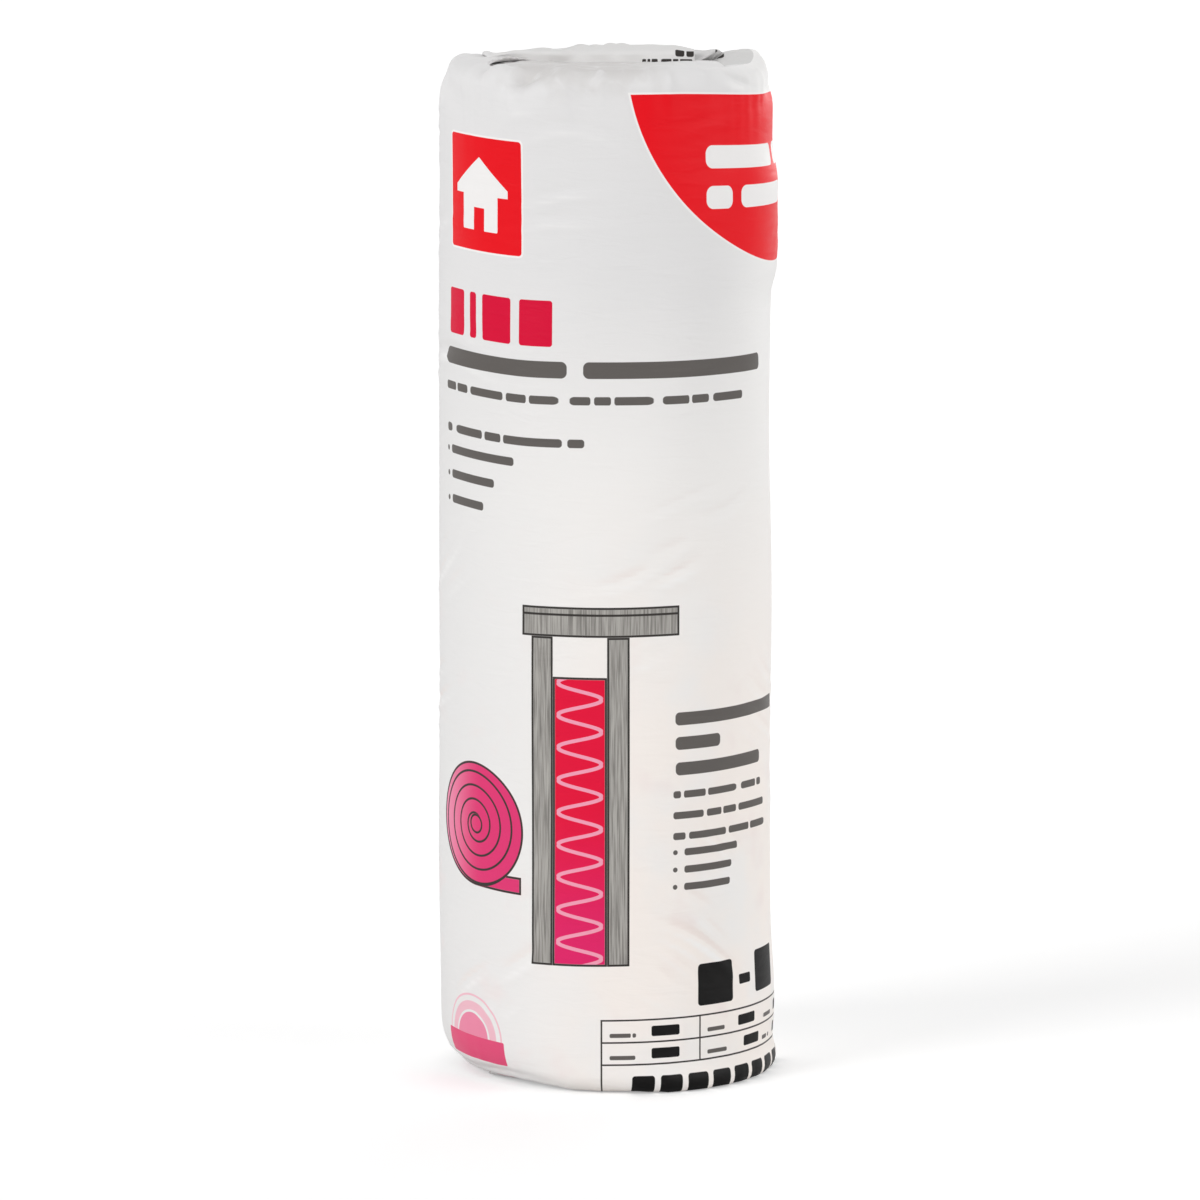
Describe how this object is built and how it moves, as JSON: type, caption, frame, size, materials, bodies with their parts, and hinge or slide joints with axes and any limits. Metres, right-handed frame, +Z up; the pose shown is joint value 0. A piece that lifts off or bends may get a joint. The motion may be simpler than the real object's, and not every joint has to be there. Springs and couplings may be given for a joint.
{
  "type": "film-wrapped fiberglass insulation batt roll",
  "caption": "Upright roll of unfaced glass wool batt, wound as a spiral, in a printed white film wrap with folded and sealed ends.",
  "frame": {"origin": "centre of the flat end that the roll stands on", "axes": "+Z up along the roll's axis, -Y towards the front with the print, +X to the right seen from the front"},
  "size_m": [0.1338, 0.134, 0.4138],
  "materials": {
    "glass_wool": "matt pink glass wool",
    "printed_film": "milky white polyethylene film, printed on the outside"
  },
  "bodies": {
    "root": {"fiberglass_batt": "glass_wool", "film_wrap": "printed_film"}
  },
  "joints": []
}
